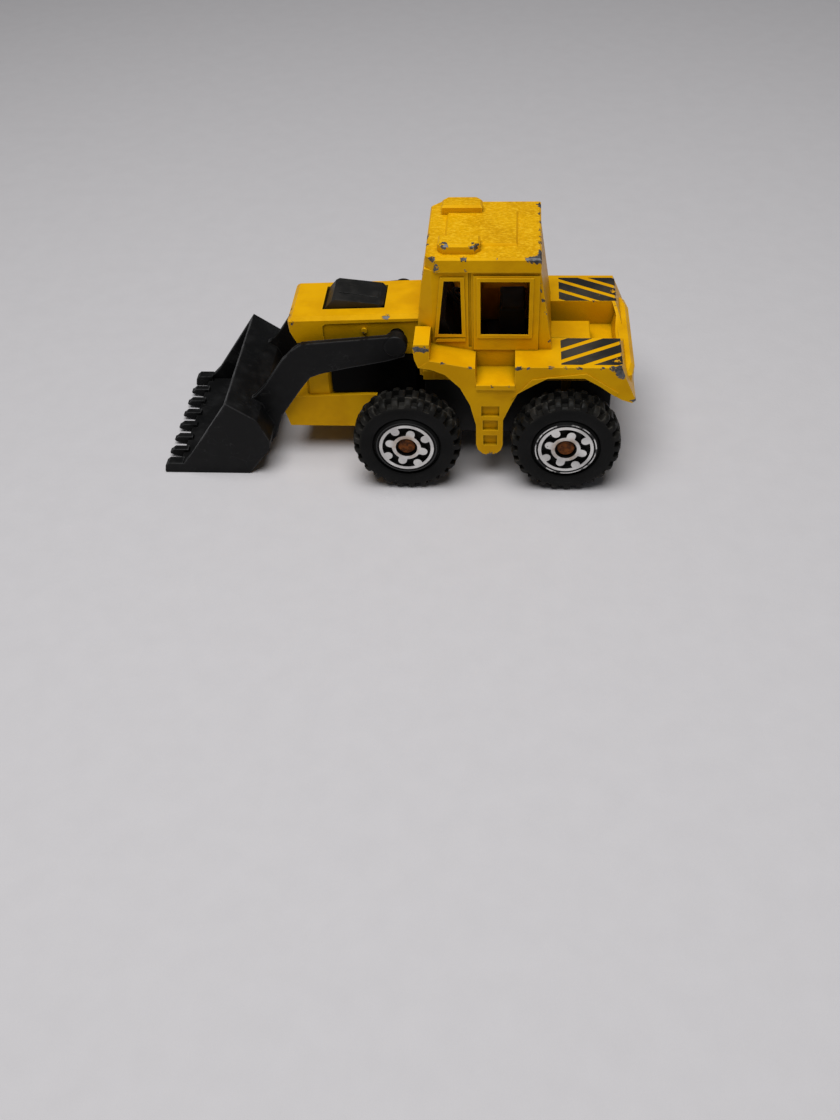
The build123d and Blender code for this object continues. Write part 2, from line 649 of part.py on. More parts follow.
def make_bucket():
    """Thin-walled bucket with sloping side plates and rounded teeth."""
    reach = 4.0
    outline = bucket_outline(reach) + [(tooth_tip_x + 3 * reach, bucket_height + 6)]
    sketch = make_face(Polyline(*[(x, 0, z) for x, z in outline], close=True))
    inner = offset(sketch, -bucket_wall, kind=Kind.INTERSECTION)
    half = bucket_half_width - bucket_wall
    hollow = extrude(inner, half, dir=(0, 1, 0), both=True)
    bucket = bucket_block() - hollow
    toe = tooth_tip_x - tooth_length
    gaps = tooth_count - 1
    inner_span = 2 * (bucket_half_width - end_tooth_width)
    gap = (inner_span - (tooth_count - 2) * tooth_width) / gaps
    y = -bucket_half_width
    for number in range(tooth_count):
        ends = number in (0, tooth_count - 1)
        width = end_tooth_width if ends else tooth_width
        low, high = (0, 1.85) if ends else (0.7, 1.55)
        tooth = side_plate([(toe - 0.9, 0), (toe, 0), (tooth_tip_x - 0.15, low),
                            (tooth_tip_x, low + 0.3), (tooth_tip_x - 0.2, high - 0.5),
                            (tooth_tip_x - 0.8, high), (toe - 0.9, high)], y, y + width)
        bucket += tooth
        y += width + gap
    return bucket


def arm_outline():
    """Side outline of an arm, from the pivot over the elbow and down behind the bucket."""
    px, pz = pivot_x, pivot_z
    bx = bucket_x
    return [(px - 1.2, pz + 1.3), (px + 0.6, pz + 1.55), (nose_x - 2.3, pz + 0.2),
            (nose_x - 1.0, pz - 0.7), (nose_x + 1.0, pz - 2.7), (bx - 5.2, bucket_height - 0.1),
            (bx - 3.6, bucket_height - 1.8), (bx - 1.5, bucket_height - 3.0),
            (bx - 3.5, 5.4), (bx - 5.0, 2.8), (bx - 6.0, 4.0), (bx - 7.4, 8.0),
            (bx - 9.3, 10.7), (bx - 11.1, 13.3), (nose_x - 3.1, pz - 5.7),
            (nose_x - 4.85, pz - 5.0), (nose_x - 8.8, pz - 4.0), (px + 1.6, pz - 2.7),
            (px - 1.3, pz - 1.8), (px - 1.6, pz + 0.1)]


def make_arm():
    """Left arm with its boss, its stud and the relief edge along its face."""
    plate = side_plate(arm_outline(), arm_inner_y, arm_outer_y)
    boss = rod(pivot_x, pivot_z, arm_boss_radius, arm_boss_inner_y, arm_outer_y + 0.3)
    stud = rod(pivot_x, pivot_z, stud_radius, hood_half_width - hood_wall, arm_outer_y)
    outer_edge = boss.edges().filter_by(GeomType.CIRCLE).sort_by(Axis.Y)[-1]
    boss = fillet(outer_edge, 0.3)
    return plate + boss + stud - bucket_block()


def make_print():
    """Slanting warning stripes printed on the left rear fender."""
    x0 = tail_x + 2.3
    x1 = 1.15
    y0 = fender_inner_y + 0.05
    y1 = body_half_width - print_inset
    z1 = fender_z + print_thickness
    panel = plan_plate([(x0, y0), (x1, y0), (x1, y1), (x0, y1)], fender_z, z1)
    rise = stripe_slope * (x1 - x0)
    stripes = None
    for number in range(stripe_count):
        y = y0 + 0.6 + stripe_pitch * number
        stripe = plan_plate([(x1, y), (x1, y + stripe_width), (x0, y + stripe_width - rise),
                             (x0, y - rise)], fender_z, z1)
        stripes = stripe if stripes is None else stripes + stripe
    return panel & stripes


def write(name, shape):
    """Slides a piece into the loader's own frame and writes it."""
    solids = [Pos(-middle_x, 0, 0) * solid for solid in shape.solids()]
    export_step(Compound(children=solids) if len(solids) > 1 else solids[0],
                f"parts/{name}.step")


def build():
    os.makedirs("parts", exist_ok=True)
    write("body_shell", make_body())
    write("base_plate", make_base())
    write("rivet_head", make_rivet_head())
    write("engine_insert", make_engine())
    write("cab_interior", make_interior())
    wheel = make_wheel()
    foil = make_foil()
    for end, x in (("front", front), ("rear", 0)):
        write(f"{end}_axle", make_axle(x))
        write(f"wheel_{end}_left", Pos(x, 0, axle_z) * wheel)
        write(f"wheel_{end}_right", Pos(x, 0, axle_z) * far_side(wheel))
        write(f"hub_foil_{end}_left", Pos(x, 0, axle_z) * foil)
        write(f"hub_foil_{end}_right", Pos(x, 0, axle_z) * far_side(foil))
    write("bucket", make_bucket())
    arm = make_arm()
    write("arm_left", arm)
    write("arm_right", far_side(arm))
    print_left = make_print()
    write("stripes_left", print_left)
    write("stripes_right", far_side(print_left))


build()
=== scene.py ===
import json
import math
import bpy
import numpy as np
from mathutils import Matrix


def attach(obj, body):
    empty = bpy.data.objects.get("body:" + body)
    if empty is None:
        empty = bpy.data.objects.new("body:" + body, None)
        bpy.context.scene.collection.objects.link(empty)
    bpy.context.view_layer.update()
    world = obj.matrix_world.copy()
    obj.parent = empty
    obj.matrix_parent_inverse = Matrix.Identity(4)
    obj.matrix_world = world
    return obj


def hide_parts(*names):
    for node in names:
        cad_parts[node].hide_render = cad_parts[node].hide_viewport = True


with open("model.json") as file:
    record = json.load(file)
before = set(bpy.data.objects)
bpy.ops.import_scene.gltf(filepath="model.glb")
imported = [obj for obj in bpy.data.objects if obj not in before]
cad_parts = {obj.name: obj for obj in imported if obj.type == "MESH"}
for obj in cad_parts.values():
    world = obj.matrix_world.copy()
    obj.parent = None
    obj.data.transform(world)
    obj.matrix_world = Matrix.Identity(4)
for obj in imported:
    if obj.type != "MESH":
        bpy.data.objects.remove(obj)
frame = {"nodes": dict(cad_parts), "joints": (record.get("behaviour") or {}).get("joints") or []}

scene = bpy.context.scene
mm = 0.001
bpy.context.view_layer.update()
nodes = frame["nodes"]
joints = {joint["name"]: joint for joint in frame["joints"]}
print("frame loaded:", len(nodes), "nodes")


# small helpers for shader trees

def addNode(tree, kind, wires=None, **settings):
    node = tree.nodes.new("ShaderNode" + kind)
    for name, value in settings.items():
        setattr(node, name, value)
    for name, value in (wires or {}).items():
        plug(tree, value, node.inputs[name])
    return node


def plug(tree, value, socket):
    if isinstance(value, bpy.types.NodeSocket):
        tree.links.new(value, socket)
    else:
        socket.default_value = value


def calc(tree, operation, first, second=0.0, third=0.0):
    return addNode(tree, "Math", {0: first, 1: second, 2: third}, operation=operation).outputs[0]


def fade(tree, value, low, high, start=0.0, end=1.0):
    wires = {"Value": value, "From Min": low, "From Max": high, "To Min": start, "To Max": end}
    return addNode(tree, "MapRange", wires, interpolation_type="SMOOTHSTEP").outputs["Result"]


def mixColour(tree, share, first, second):
    return addNode(tree, "Mix", {0: share, 6: first, 7: second}, data_type="RGBA").outputs[2]


def mixValue(tree, share, first, second):
    return addNode(tree, "Mix", {0: share, 2: first, 3: second}, data_type="FLOAT").outputs[0]


def grain(tree, place, scale, detail=3.0, roughness=0.55):
    wires = {"Vector": place, "Scale": scale, "Detail": detail, "Roughness": roughness}
    return addNode(tree, "TexNoise", wires)


def makeGroup(name, inputs, outputs):
    tree = bpy.data.node_groups.new(name, "ShaderNodeTree")
    for label, kind, start in inputs:
        socket = tree.interface.new_socket(label, in_out="INPUT", socket_type="NodeSocket" + kind)
        if start is not None:
            socket.default_value = start
    for label, kind in outputs:
        tree.interface.new_socket(label, in_out="OUTPUT", socket_type="NodeSocket" + kind)
    return tree, tree.nodes.new("NodeGroupInput").outputs, tree.nodes.new("NodeGroupOutput").inputs


def useGroup(tree, name, wires):
    node = tree.nodes.new("ShaderNodeGroup")
    node.node_tree = bpy.data.node_groups[name]
    for label, value in wires.items():
        plug(tree, value, node.inputs[label])
    return node.outputs


def makeMaterial(name):
    material = bpy.data.materials.new(name)
    material.use_nodes = True
    tree = material.node_tree
    shader = tree.nodes["Principled BSDF"]
    place = addNode(tree, "TexCoord").outputs["Object"]
    return material, tree, shader.inputs, place


def setBump(tree, shader, height, depth):
    bump = addNode(tree, "Bump", {"Height": height, "Distance": depth, "Strength": 1.0})
    tree.links.new(bump.outputs["Normal"], shader["Normal"])


# effects shared by the finishes

def makeRaggedPlace():
    # the place, pushed about by noise, so that a round spot gets a torn outline
    tree, given, result = makeGroup("raggedPlace", [("Place", "Vector", None), ("Grain", "Float", 900.0),
                                                    ("Depth", "Float", 0.0005)], [("Place", "Vector")])
    noise = grain(tree, given["Place"], given["Grain"], 4.0, 0.65).outputs["Color"]
    centred = addNode(tree, "VectorMath", {0: noise, 1: (0.5, 0.5, 0.5)}, operation="SUBTRACT").outputs[0]
    cellScale = calc(tree, "MULTIPLY", given["Grain"], 2.1)
    cells = addNode(tree, "TexVoronoi", {"Vector": given["Place"], "Scale": cellScale}).outputs["Color"]
    angular = addNode(tree, "VectorMath", {0: cells, 1: (0.5, 0.5, 0.5)}, operation="SUBTRACT").outputs[0]
    angular = addNode(tree, "VectorMath", {0: angular, "Scale": 0.45}, operation="SCALE").outputs[0]
    both = addNode(tree, "VectorMath", {0: centred, 1: angular}, operation="ADD").outputs[0]
    pushed = addNode(tree, "VectorMath", {0: both, "Scale": given["Depth"]}, operation="SCALE").outputs[0]
    moved = addNode(tree, "VectorMath", {0: given["Place"], 1: pushed}, operation="ADD").outputs[0]
    plug(tree, moved, result["Place"])


def makeChipSpot():
    # 1 inside an ellipsoid round the centre, 0 outside, with a narrow edge
    tree, given, result = makeGroup("chipSpot", [("Place", "Vector", None), ("Centre", "Vector", None),
                                                 ("Reach", "Vector", None)], [("Mask", "Float")])
    away = addNode(tree, "VectorMath", {0: given["Place"], 1: given["Centre"]}, operation="SUBTRACT").outputs[0]
    scaled = addNode(tree, "VectorMath", {0: away, 1: given["Reach"]}, operation="DIVIDE").outputs[0]
    length = addNode(tree, "VectorMath", {0: scaled}, operation="LENGTH").outputs["Value"]
    plug(tree, fade(tree, length, 0.88, 1.0, 1.0, 0.0), result["Mask"])


def makeEdgeWear():
    # rubbed outer edges: short rays into the piece are stopped near an edge, and noise breaks the line up
    tree, given, result = makeGroup("edgeWear", [("Place", "Vector", None), ("Reach", "Float", 0.0003),
                                                 ("Grain", "Float", 700.0), ("Cover", "Float", 0.5)],
                                    [("Mask", "Float"), ("Edge", "Float")])
    inside = addNode(tree, "AmbientOcclusion", {"Distance": given["Reach"]}, inside=True, samples=6)
    edge = fade(tree, inside.outputs["AO"], 0.93, 0.55)
    noise = grain(tree, given["Place"], given["Grain"], 3.0, 0.6).outputs["Fac"]
    limit = calc(tree, "SUBTRACT", 1.0, given["Cover"])
    broken = fade(tree, noise, limit, calc(tree, "ADD", limit, 0.12))
    plug(tree, calc(tree, "MULTIPLY", edge, broken), result["Mask"])
    plug(tree, edge, result["Edge"])


def makeCornerGrimeAndShade():
    # grime and painted shade: darker where the surface is shut in within a short reach, broken up by noise
    tree, given, result = makeGroup("cornerGrimeAndShade", [("Place", "Vector", None), ("Reach", "Float", 0.0006),
                                                   ("Grain", "Float", 400.0)], [("Mask", "Float")])
    shut = addNode(tree, "AmbientOcclusion", {"Distance": given["Reach"]}, samples=6).outputs["AO"]
    noise = grain(tree, given["Place"], given["Grain"]).outputs["Fac"]
    mask = calc(tree, "MULTIPLY", fade(tree, shut, 0.75, 0.25), fade(tree, noise, 0.25, 0.65))
    plug(tree, mask, result["Mask"])


def makeDeepShade():
    # painted shade: darkens the colour in places that stay shut in, wider than a corner
    tree, given, result = makeGroup("deepShade", [("Place", "Vector", None), ("Reach", "Float", 0.006),
                                                  ("Open", "Float", 0.5), ("Shut", "Float", 0.12)], [("Mask", "Float")])
    shut = addNode(tree, "AmbientOcclusion", {"Distance": given["Reach"]}, samples=8).outputs["AO"]
    plug(tree, fade(tree, shut, given["Open"], given["Shut"]), result["Mask"])


def makeFineGrain():
    # two sizes of noise: the moulded or sprayed texture of a surface
    tree, given, result = makeGroup("fineGrain", [("Place", "Vector", None), ("Coarse", "Float", 900.0),
                                                  ("Fine", "Float", 4000.0)], [("Height", "Float"), ("Tone", "Float")])
    coarse = grain(tree, given["Place"], given["Coarse"], 2.0).outputs["Fac"]
    fine = grain(tree, given["Place"], given["Fine"], 2.0).outputs["Fac"]
    plug(tree, mixValue(tree, 0.35, coarse, fine), result["Height"])
    plug(tree, grain(tree, given["Place"], calc(tree, "MULTIPLY", given["Coarse"], 0.2)).outputs["Fac"],
         result["Tone"])


def makeScratches():
    # thin lines: noise stretched along one direction and cut to its ridges
    tree, given, result = makeGroup("scratches", [("Place", "Vector", None), ("Stretch", "Vector", (300, 3000, 3000)),
                                                  ("Width", "Float", 0.015)], [("Mask", "Float")])
    stretched = addNode(tree, "VectorMath", {0: given["Place"], 1: given["Stretch"]}, operation="MULTIPLY").outputs[0]
    noise = grain(tree, stretched, 1.0, 1.0).outputs["Fac"]
    ridge = calc(tree, "ABSOLUTE", calc(tree, "SUBTRACT", noise, 0.5))
    patches = fade(tree, grain(tree, given["Place"], 260.0).outputs["Fac"], 0.45, 0.62)
    line = calc(tree, "LESS_THAN", ridge, given["Width"])
    plug(tree, calc(tree, "MULTIPLY", line, patches), result["Mask"])


for makeEffect in (makeRaggedPlace, makeChipSpot, makeEdgeWear, makeCornerGrimeAndShade, makeDeepShade, makeFineGrain,
                   makeScratches):
    makeEffect()
print("effects ready:", len(bpy.data.node_groups))


# finishes

enamel = {
    "thick": (0.78, 0.40, 0.0015, 1), "thin": (0.67, 0.325, 0.001, 1), "grimeAndShade": (0.13, 0.075, 0.002, 1),
    "paintedHighlight": (0.88, 0.52, 0.02, 1), "shaded": (0.23, 0.15, 0.002, 1), "roofLevel": 34.4 * mm,
    "zinc": (0.135, 0.14, 0.155, 1), "zincDark": (0.05, 0.052, 0.06, 1),
    "peelDepth": 0.03 * mm, "paintDepth": 0.05 * mm, "roughness": 0.36,
    # knocked-off paint: x, y, z of the middle and its half sizes, in millimetres
    "chips": [
        (-21.6, 8.6, 35.7, 1.5, 0.9, 0.8), (-22.2, 7.4, 35.6, 0.45, 1.5, 0.5),
        (-22.2, -7.4, 35.6, 0.5, 0.8, 0.4), (-22.3, -4.6, 35.7, 0.35, 0.5, 0.3), (-22.35, -2.2, 35.7, 0.28, 0.4, 0.3),
        (-22.35, 0.3, 35.7, 0.3, 0.55, 0.3), (-22.3, 2.2, 35.7, 0.25, 0.35, 0.3), (-22.3, 3.9, 35.7, 0.35, 0.6, 0.3),
        (-6.6, 8.3, 35.4, 1.0, 0.6, 0.45), (-7.6, 8.75, 34.2, 0.5, 0.25, 0.9),
        (-5.9, 1.9, 35.6, 0.3, 0.9, 0.3), (-5.9, 4.4, 35.6, 0.3, 0.5, 0.3),
        (-11.4, 8.5, 35.6, 0.42, 0.5, 0.35), (-11.8, 8.7, 33.8, 0.3, 0.2, 0.18), (-16.0, 8.7, 35.6, 0.3, 0.3, 0.15),
        (-8.6, 7.1, 36.85, 0.75, 0.6, 0.35), (-12.9, 7.1, 36.75, 0.8, 0.6, 0.45),
        (-5.3, 13.0, 23.6, 1.3, 0.35, 0.5), (-4.6, 13.0, 23.9, 0.5, 0.5, 0.3),
        (-8.5, 13.05, 21.35, 0.35, 0.3, 0.2), (-12.6, 13.05, 20.6, 0.4, 0.3, 0.3),
        (-19.5, 13.05, 20.55, 0.5, 0.4, 0.42), (-20.9, 13.05, 20.6, 0.35, 0.3, 0.25),
        (-24.1, 13.05, 20.65, 0.45, 0.3, 0.22), (-26.3, 13.05, 20.65, 0.4, 0.3, 0.16),
        (-28.3, 13.05, 20.65, 0.55, 0.3, 0.2), (-31.5, 13.05, 20.6, 0.6, 0.3, 0.18),
        (-33.9, 12.9, 20.5, 1.3, 0.55, 0.6), (-34.4, 13.1, 19.6, 0.75, 0.3, 0.9),
        (-36.6, 12.9, 15.1, 0.7, 0.7, 0.35),
        (-15.6, 13.4, 17.5, 0.35, 0.25, 0.16), (-18.0, 13.4, 17.5, 0.3, 0.2, 0.14),
        (-22.3, 8.4, 30.6, 0.22, 0.3, 0.5), (-22.9, 8.4, 28.9, 0.3, 0.3, 0.3),
        (-23.4, 8.4, 26.9, 0.2, 0.3, 0.25), (-24.0, 8.3, 22.3, 0.2, 0.3, 0.4), (-22.6, 8.5, 31.8, 0.2, 0.3, 0.2),
        (-31.2, -5.2, 20.7, 0.6, 0.2, 0.2), (-34.4, -4.3, 20.5, 0.35, 0.7, 0.4), (-35.3, -2.4, 19.2, 0.5, 0.45, 0.4),
        (0.5, 5.3, 24.2, 0.8, 0.4, 0.4), (3.96, 5.5, 21.5, 0.3, 0.3, 0.3), (0.2, 5.0, 23.85, 0.35, 0.3, 0.2),
        (15.4, 2.0, 23.65, 0.25, 0.5, 0.3), (15.3, 3.6, 23.35, 0.3, 0.5, 0.5), (14.6, 5.3, 23.15, 0.35, 0.35, 0.5),
        (-30.8, -3.2, 18.95, 0.3, 0.7, 0.25), (-15.6, 12.9, 4.7, 0.7, 0.5, 0.3),
    ],
}


def makeEnamel(name, chips):
    material, tree, shader, place = makeMaterial(name)
    grainOut = useGroup(tree, "fineGrain", {"Place": place, "Coarse": 850.0, "Fine": 3200.0})
    brushed = addNode(tree, "VectorMath", {0: place, 1: (900, 1700, 1700)}, operation="MULTIPLY").outputs[0]
    streak = grain(tree, brushed, 1.0, 4.0, 0.65).outputs["Fac"]
    upward = addNode(tree, "SeparateXYZ", {0: addNode(tree, "NewGeometry").outputs["Normal"]}).outputs["Z"]
    onTop = fade(tree, upward, 0.75, 0.97)
    tone = fade(tree, grainOut["Tone"], 0.34, 0.62)
    paint = mixColour(tree, tone, enamel["thin"], enamel["thick"])
    # painted shade: the paint is darkened toward the shaded colour where the surface is shut in
    shade = useGroup(tree, "deepShade", {"Place": place, "Reach": 7.0 * mm, "Open": 0.62, "Shut": 0.15})["Mask"]
    paint = mixColour(tree, calc(tree, "MULTIPLY", shade, 0.85), paint, enamel["shaded"])
    # grime and painted shade: the paint is darkened toward a dark yellow in shut-in corners
    grimeAndShadeMask = useGroup(tree, "cornerGrimeAndShade", {"Place": place, "Reach": 0.9 * mm, "Grain": 500.0})["Mask"]
    paint = mixColour(tree, calc(tree, "MULTIPLY", grimeAndShadeMask, 0.6), paint, enamel["grimeAndShade"])
    torn = useGroup(tree, "raggedPlace", {"Place": place, "Grain": 1300.0, "Depth": 0.75 * mm})["Place"]
    chipped = None
    for x, y, z, halfX, halfY, halfZ in chips:
        wires = {"Place": torn, "Centre": (x * mm, y * mm, z * mm), "Reach": (halfX * mm, halfY * mm, halfZ * mm)}
        spot = useGroup(tree, "chipSpot", wires)["Mask"]
        chipped = spot if chipped is None else calc(tree, "MAXIMUM", chipped, spot)
    wear = useGroup(tree, "edgeWear", {"Place": place, "Reach": 0.2 * mm, "Grain": 650.0, "Cover": 0.33})
    # painted highlight: every edge is lightened toward the highlight colour
    paint = mixColour(tree, calc(tree, "MULTIPLY", wear["Edge"], 0.45), paint, enamel["paintedHighlight"])
    bare = calc(tree, "MAXIMUM", chipped, calc(tree, "MULTIPLY", wear["Mask"], 0.8))
    metal = mixColour(tree, fade(tree, grainOut["Height"], 0.35, 0.6), enamel["zincDark"], enamel["zinc"])
    plug(tree, calc(tree, "MULTIPLY", bare, 0.55), shader["Metallic"])
    gloss = mixValue(tree, fade(tree, streak, 0.3, 0.7), enamel["roughness"] - 0.06, enamel["roughness"] + 0.12)
    plug(tree, mixValue(tree, bare, gloss, 0.5), shader["Roughness"])
    shader["Specular IOR Level"].default_value = 0.25
    shader["Specular Tint"].default_value = (1.0, 0.7, 0.08, 1)
    # the roof was painted thickly and dries in lumps; the hollows get painted shade and the crests a painted highlight
    level = addNode(tree, "SeparateXYZ", {0: place}).outputs["Z"]
    onRoof = calc(tree, "MULTIPLY", onTop, calc(tree, "GREATER_THAN", level, enamel["roofLevel"]))
    lumps = grain(tree, brushed, 1.9, 5.0, 0.75).outputs["Fac"]
    roofHollowShade = calc(tree, "MULTIPLY", fade(tree, lumps, 0.52, 0.38), onRoof)
    paint = mixColour(tree, calc(tree, "MULTIPLY", roofHollowShade, 0.22), paint, enamel["shaded"])
    roofCrestHighlight = calc(tree, "MULTIPLY", fade(tree, lumps, 0.5, 0.62), onRoof)
    paint = mixColour(tree, calc(tree, "MULTIPLY", roofCrestHighlight, 0.9), paint, enamel["paintedHighlight"])
    waves = mixValue(tree, calc(tree, "MULTIPLY", onTop, 0.6), grainOut["Height"], streak)
    waves = calc(tree, "ADD", waves, calc(tree, "MULTIPLY", calc(tree, "MULTIPLY", lumps, onRoof), 3.0))
    plug(tree, mixColour(tree, bare, paint, metal), shader["Base Color"])
    height = calc(tree, "SUBTRACT", waves, calc(tree, "MULTIPLY", bare, enamel["paintDepth"] / enamel["peelDepth"]))
    setBump(tree, shader, height, enamel["peelDepth"])
    return material


blackMouldings = {
    "loader": {"colour": (0.0034, 0.0034, 0.0036, 1), "worn": (0.055, 0.055, 0.056, 1), "cover": 0.62,
               "rough": (0.40, 0.58), "grainDepth": 0.012 * mm, "reach": 0.28 * mm, "gloss": 0.17,
               "shaded": (0.0014, 0.0014, 0.0014, 1), "paintedShadeBelow": -1.0},
    "engine": {"colour": (0.0075, 0.0073, 0.0068, 1), "worn": (0.09, 0.08, 0.07, 1), "cover": 0.45,
               "rough": (0.34, 0.5), "grainDepth": 0.015 * mm, "reach": 0.25 * mm, "gloss": 0.4,
               "shaded": (0.0012, 0.0011, 0.001, 1), "paintedShadeBelow": 22.0 * mm},
    "interior": {"colour": (0.0048, 0.0044, 0.004, 1), "worn": (0.03, 0.028, 0.025, 1), "cover": 0.4,
                 "rough": (0.45, 0.6), "grainDepth": 0.012 * mm, "reach": 0.25 * mm, "gloss": 0.3,
                 "shaded": (0.0016, 0.0014, 0.001, 1), "paintedShadeBelow": -1.0},
}


def makeBlackMoulding(name, look):
    material, tree, shader, place = makeMaterial(name)
    grainOut = useGroup(tree, "fineGrain", {"Place": place, "Coarse": 1600.0, "Fine": 5200.0})
    wear = useGroup(tree, "edgeWear", {"Place": place, "Reach": look["reach"], "Grain": 420.0, "Cover": look["cover"]})
    lines = useGroup(tree, "scratches", {"Place": place, "Stretch": (500, 2600, 900), "Width": 0.012})["Mask"]
    handled = fade(tree, grainOut["Tone"], 0.45, 0.75, 0.0, 0.12)
    worn = calc(tree, "MAXIMUM", calc(tree, "MULTIPLY", wear["Mask"], 0.75), calc(tree, "MULTIPLY", lines, 0.25))
    worn = calc(tree, "MAXIMUM", worn, handled)
    # painted shade: darker and less glossy where the moulding is shut in
    shade = useGroup(tree, "deepShade", {"Place": place, "Reach": 5.0 * mm, "Open": 0.7, "Shut": 0.2})["Mask"]
    # painted shade: below this level the moulding is darkened and dulled, standing in for the shadow of the bonnet
    level = addNode(tree, "SeparateXYZ", {0: place}).outputs["Z"]
    shade = calc(tree, "MAXIMUM", shade, fade(tree, level, look["paintedShadeBelow"], look["paintedShadeBelow"] - 1.5 * mm))
    colour = mixColour(tree, worn, look["colour"], look["worn"])
    plug(tree, mixColour(tree, calc(tree, "MULTIPLY", shade, 0.9), colour, look["shaded"]), shader["Base Color"])
    plug(tree, mixValue(tree, shade, look["gloss"], 0.04), shader["Specular IOR Level"])
    smooth, dull = look["rough"]
    plug(tree, mixValue(tree, fade(tree, grainOut["Tone"], 0.3, 0.7), smooth, dull), shader["Roughness"])
    setBump(tree, shader, grainOut["Height"], look["grainDepth"])
    return material


rubber = {"colour": (0.0036, 0.0036, 0.0034, 1), "dust": (0.085, 0.078, 0.066, 1), "gloss": 0.14,
          "rough": (0.46, 0.66), "grainDepth": 0.02 * mm}


def makeRubber():
    material, tree, shader, place = makeMaterial("tyreMoulding")
    grainOut = useGroup(tree, "fineGrain", {"Place": place, "Coarse": 1300.0, "Fine": 4300.0})
    wear = useGroup(tree, "edgeWear", {"Place": place, "Reach": 0.35 * mm, "Grain": 520.0, "Cover": 0.5})
    tread = addNode(tree, "Attribute", attribute_name="treadShare").outputs["Fac"]
    settled = fade(tree, grainOut["Tone"], 0.4, 0.75, 0.05, 0.4)
    dusty = calc(tree, "MULTIPLY", tread, calc(tree, "MAXIMUM", wear["Mask"], settled))
    colour = mixColour(tree, calc(tree, "MULTIPLY", dusty, 0.7), rubber["colour"], rubber["dust"])
    plug(tree, colour, shader["Base Color"])
    smooth, dull = rubber["rough"]
    plug(tree, mixValue(tree, calc(tree, "MAXIMUM", dusty, fade(tree, grainOut["Tone"], 0.3, 0.7)), smooth, dull),
         shader["Roughness"])
    shader["Specular IOR Level"].default_value = rubber["gloss"]
    setBump(tree, shader, grainOut["Height"], rubber["grainDepth"])
    return material


foil = {"bright": (0.80, 0.79, 0.77, 1), "dull": (0.55, 0.54, 0.53, 1), "under": (0.012, 0.012, 0.012, 1),
        "rough": (0.26, 0.45), "crease": 0.02 * mm, "stain": (0.33, 0.20, 0.10, 1),
        "frontX": -2.8 * mm, "rearX": -26.8 * mm, "between": -14.8 * mm, "axleZ": 8.25 * mm,
        # the outer ring starts here, and keeps its foil where the patches stay under the limit, front then rear
        "ringFrom": 4.3 * mm, "ringKept": (0.2, 0.47), "stainReach": (2.7 * mm, 1.6 * mm)}


def makeFoil():
    material, tree, shader, place = makeMaterial("hotFoil")
    grainOut = useGroup(tree, "fineGrain", {"Place": place, "Coarse": 1500.0, "Fine": 5000.0})
    wear = useGroup(tree, "edgeWear", {"Place": place, "Reach": 0.07 * mm, "Grain": 1500.0, "Cover": 0.42})["Mask"]
    spots = fade(tree, grain(tree, place, 2100.0, 4.0, 0.7).outputs["Fac"], 0.66, 0.72)
    gone = calc(tree, "MULTIPLY", calc(tree, "MAXIMUM", calc(tree, "MULTIPLY", wear, 0.6), spots), 0.9)
    # distance from the axle: the thin outer ring is rubbed off, nearly all of it in front
    parts = addNode(tree, "SeparateXYZ", {0: place}).outputs
    isRear = calc(tree, "LESS_THAN", parts["X"], foil["between"])
    middle = mixValue(tree, isRear, foil["frontX"], foil["rearX"])
    away = addNode(tree, "CombineXYZ", {0: calc(tree, "SUBTRACT", parts["X"], middle),
                                        1: calc(tree, "SUBTRACT", parts["Z"], foil["axleZ"])}).outputs[0]
    distance = addNode(tree, "VectorMath", {0: away}, operation="LENGTH").outputs["Value"]
    patches = grain(tree, place, 420.0, 3.0, 0.6).outputs["Fac"]
    limit = mixValue(tree, isRear, *foil["ringKept"])
    onRing = calc(tree, "GREATER_THAN", distance, foil["ringFrom"])
    torn = fade(tree, patches, limit, calc(tree, "ADD", limit, 0.1))
    rubbedOff = calc(tree, "MULTIPLY", onRing, torn)
    gone = calc(tree, "MAXIMUM", gone, rubbedOff)
    nearAxle = fade(tree, distance, *foil["stainReach"])
    stain = calc(tree, "MULTIPLY", nearAxle, fade(tree, patches, 0.35, 0.65))
    silver = mixColour(tree, fade(tree, grainOut["Tone"], 0.35, 0.7), foil["bright"], foil["dull"])
    silver = mixColour(tree, calc(tree, "MULTIPLY", stain, 0.75), silver, foil["stain"])
    plug(tree, mixColour(tree, gone, silver, foil["under"]), shader["Base Color"])
    plug(tree, calc(tree, "SUBTRACT", 1.0, calc(tree, "MULTIPLY", gone, 0.9)), shader["Metallic"])
    smooth, dull = foil["rough"]
    plug(tree, mixValue(tree, fade(tree, grainOut["Height"], 0.3, 0.7), smooth, dull), shader["Roughness"])
    setBump(tree, shader, grainOut["Height"], foil["crease"])
    return material


rust = {"dark": (0.06, 0.019, 0.006, 1), "orange": (0.20, 0.058, 0.010, 1), "steel": (0.24, 0.15, 0.09, 1)}


def makeRustySteel():
    material, tree, shader, place = makeMaterial("rustySteel")
    grainOut = useGroup(tree, "fineGrain", {"Place": place, "Coarse": 1500.0, "Fine": 5200.0})
    blotch = fade(tree, grain(tree, place, 1400.0, 5.0, 0.7).outputs["Fac"], 0.38, 0.62)
    wear = useGroup(tree, "edgeWear", {"Place": place, "Reach": 0.15 * mm, "Grain": 1800.0, "Cover": 0.5})["Mask"]
    colour = mixColour(tree, blotch, rust["dark"], rust["orange"])
    plug(tree, mixColour(tree, calc(tree, "MULTIPLY", wear, 0.25), colour, rust["steel"]), shader["Base Color"])
    shader["Specular IOR Level"].default_value = 0.15
    plug(tree, calc(tree, "MULTIPLY", wear, 0.35), shader["Metallic"])
    plug(tree, mixValue(tree, grainOut["Height"], 0.5, 0.85), shader["Roughness"])
    setBump(tree, shader, mixValue(tree, 0.5, grainOut["Height"], blotch), 0.05 * mm)
    return material


zinc = {"light": (0.36, 0.36, 0.37, 1), "dark": (0.14, 0.14, 0.15, 1)}


